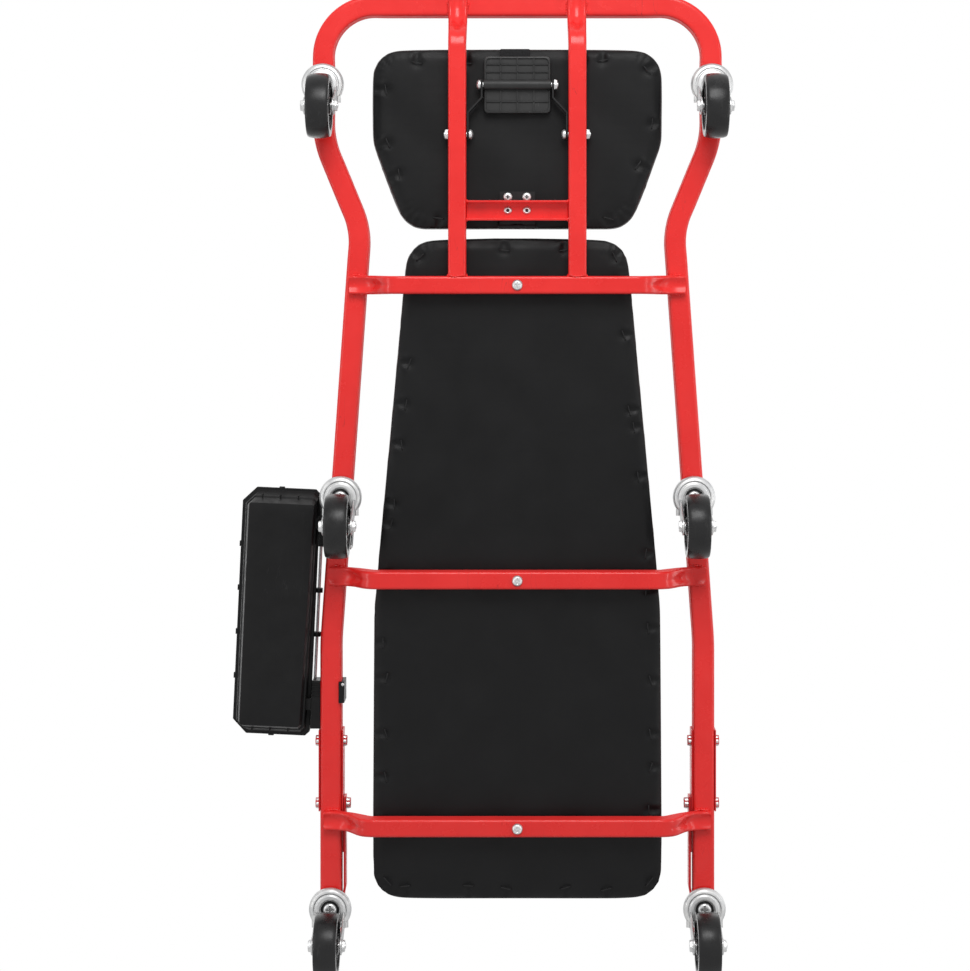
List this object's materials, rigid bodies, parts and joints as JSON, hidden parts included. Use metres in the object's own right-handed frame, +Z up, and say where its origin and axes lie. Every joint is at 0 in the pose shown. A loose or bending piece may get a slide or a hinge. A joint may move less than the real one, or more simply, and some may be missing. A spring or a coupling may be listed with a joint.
{
  "type": "mechanics creeper",
  "caption": "Low padded creeper on swivel casters: bent square-tube frame, long pad, tilting head pad on a swing-up prop, and a tool tray hung on a rod beside the rail.",
  "frame": {"origin": "middle of the whole outline, tray included, on the floor", "axes": "+Z up, +Y towards the foot end, +X to the side away from the tool tray"},
  "size_m": [0.5443, 1.0514, 0.1096],
  "materials": {
    "red_paint": "gloss powder coat",
    "black_vinyl": "grained vinyl cover",
    "plywood": "board with a dark lining below",
    "black_plastic": "satin moulded",
    "wheel_plastic": "satin hard tread",
    "zinc_plate": "bright zinc plate",
    "bright_steel": "drawn wire",
    "dark_steel": "black plated steel"
  },
  "bodies": {
    "frame": {"foot_crossbar": "red_paint", "foot_left_stem": "zinc_plate", "foot_pad_screw": "zinc_plate", "foot_right_stem": "zinc_plate", "front_tray_clip": "black_plastic", "head_left_stem": "zinc_plate", "head_right_stem": "zinc_plate", "hinge_channel": "red_paint", "hinge_fixed_leaf": "dark_steel", "hinge_pin": "dark_steel", "left_headrest_tube": "red_paint", "left_prop_bolt": "zinc_plate", "left_rail": "red_paint", "left_splice": "red_paint", "left_tail_leg": "red_paint", "left_tail_plug": "black_plastic", "left_tail_stay": "red_paint", "main_board": "plywood", "main_cushion": "black_vinyl", "middle_crossbar": "red_paint", "middle_left_stem": "zinc_plate", "middle_pad_screw": "zinc_plate", "middle_right_stem": "zinc_plate", "neck_crossbar": "red_paint", "neck_pad_screw": "zinc_plate", "rear_tray_clip": "black_plastic", "right_headrest_tube": "red_paint", "right_prop_bolt": "zinc_plate", "right_rail": "red_paint", "right_splice": "red_paint", "right_tail_leg": "red_paint", "right_tail_plug": "black_plastic", "right_tail_stay": "red_paint", "tray_rod": "bright_steel"},
    "head_left_swivel": {"head_left_fork": "zinc_plate", "head_left_axle": "zinc_plate"},
    "head_left_roller": {"head_left_wheel": "wheel_plastic"},
    "head_right_swivel": {"head_right_fork": "zinc_plate", "head_right_axle": "zinc_plate"},
    "head_right_roller": {"head_right_wheel": "wheel_plastic"},
    "middle_left_swivel": {"middle_left_fork": "zinc_plate", "middle_left_axle": "zinc_plate"},
    "middle_left_roller": {"middle_left_wheel": "wheel_plastic"},
    "middle_right_swivel": {"middle_right_fork": "zinc_plate", "middle_right_axle": "zinc_plate"},
    "middle_right_roller": {"middle_right_wheel": "wheel_plastic"},
    "foot_left_swivel": {"foot_left_fork": "zinc_plate", "foot_left_axle": "zinc_plate"},
    "foot_left_roller": {"foot_left_wheel": "wheel_plastic"},
    "foot_right_swivel": {"foot_right_fork": "zinc_plate", "foot_right_axle": "zinc_plate"},
    "foot_right_roller": {"foot_right_wheel": "wheel_plastic"},
    "headrest": {"head_board": "plywood", "head_cushion": "black_vinyl", "hinge_moving_leaf": "dark_steel"},
    "prop_frame": {"left_prop_arm": "dark_steel", "right_prop_arm": "dark_steel", "prop_rod": "zinc_plate"},
    "prop_block": {"prop_plate": "black_plastic"},
    "tray": {"tool_tray": "black_plastic"}
  },
  "joints": [
    {"name": "head_left_swivel", "type": "hinge", "parent": "frame", "child": "head_left_swivel", "pos_m": [-0.17108, -0.42773, 0], "axis": [0, 0, 1], "continuous": true},
    {"name": "head_left_roll", "type": "hinge", "parent": "head_left_swivel", "child": "head_left_roller", "pos_m": [-0.17108, -0.40124, 0.03457], "axis": [1, 0, 0], "continuous": true},
    {"name": "head_right_swivel", "type": "hinge", "parent": "frame", "child": "head_right_swivel", "pos_m": [0.25032, -0.42773, 0], "axis": [0, 0, 1], "continuous": true},
    {"name": "head_right_roll", "type": "hinge", "parent": "head_right_swivel", "child": "head_right_roller", "pos_m": [0.25032, -0.40124, 0.03457], "axis": [1, 0, 0], "continuous": true},
    {"name": "middle_left_swivel", "type": "hinge", "parent": "frame", "child": "middle_left_swivel", "pos_m": [-0.15176, 0.01906, 0], "axis": [0, 0, 1], "continuous": true},
    {"name": "middle_left_roll", "type": "hinge", "parent": "middle_left_swivel", "child": "middle_left_roller", "pos_m": [-0.15176, 0.04557, 0.03457], "axis": [1, 0, 0], "continuous": true},
    {"name": "middle_right_swivel", "type": "hinge", "parent": "frame", "child": "middle_right_swivel", "pos_m": [0.231, 0.01906, 0], "axis": [0, 0, 1], "continuous": true},
    {"name": "middle_right_roll", "type": "hinge", "parent": "middle_right_swivel", "child": "middle_right_roller", "pos_m": [0.231, 0.04557, 0.03457], "axis": [1, 0, 0], "continuous": true},
    {"name": "foot_left_swivel", "type": "hinge", "parent": "frame", "child": "foot_left_swivel", "pos_m": [-0.16288, 0.46466, 0], "axis": [0, 0, 1], "continuous": true},
    {"name": "foot_left_roll", "type": "hinge", "parent": "foot_left_swivel", "child": "foot_left_roller", "pos_m": [-0.16288, 0.49117, 0.03457], "axis": [1, 0, 0], "continuous": true},
    {"name": "foot_right_swivel", "type": "hinge", "parent": "frame", "child": "foot_right_swivel", "pos_m": [0.24212, 0.46466, 0], "axis": [0, 0, 1], "continuous": true},
    {"name": "foot_right_roll", "type": "hinge", "parent": "foot_right_swivel", "child": "foot_right_roller", "pos_m": [0.24212, 0.49117, 0.03457], "axis": [1, 0, 0], "continuous": true},
    {"name": "headrest_tilt", "type": "hinge", "parent": "frame", "child": "headrest", "pos_m": [0.03962, -0.27364, 0.05967], "axis": [-1, 0, 0], "range_deg": [0, 28]},
    {"name": "prop_swing", "type": "hinge", "parent": "frame", "child": "prop_frame", "pos_m": [0.03962, -0.37223, 0.05267], "axis": [-1, 0, 0], "range_deg": [0, 82]},
    {"name": "prop_plate_pivot", "type": "hinge", "parent": "prop_frame", "child": "prop_block", "pos_m": [0.03962, -0.42534, 0.05267], "axis": [-1, 0, 0], "range_deg": [-54, 0]},
    {"name": "tray_fold", "type": "hinge", "parent": "frame", "child": "tray", "pos_m": [-0.17848, 0.14711, 0.10327], "axis": [-0.0458, 0.999, 0], "range_deg": [0, 90]}
  ],
  "couplings": [
    {"joint": "prop_swing", "follows": "headrest_tilt", "ratio": 2.9},
    {"joint": "prop_plate_pivot", "follows": "headrest_tilt", "ratio": -1.9}
  ]
}
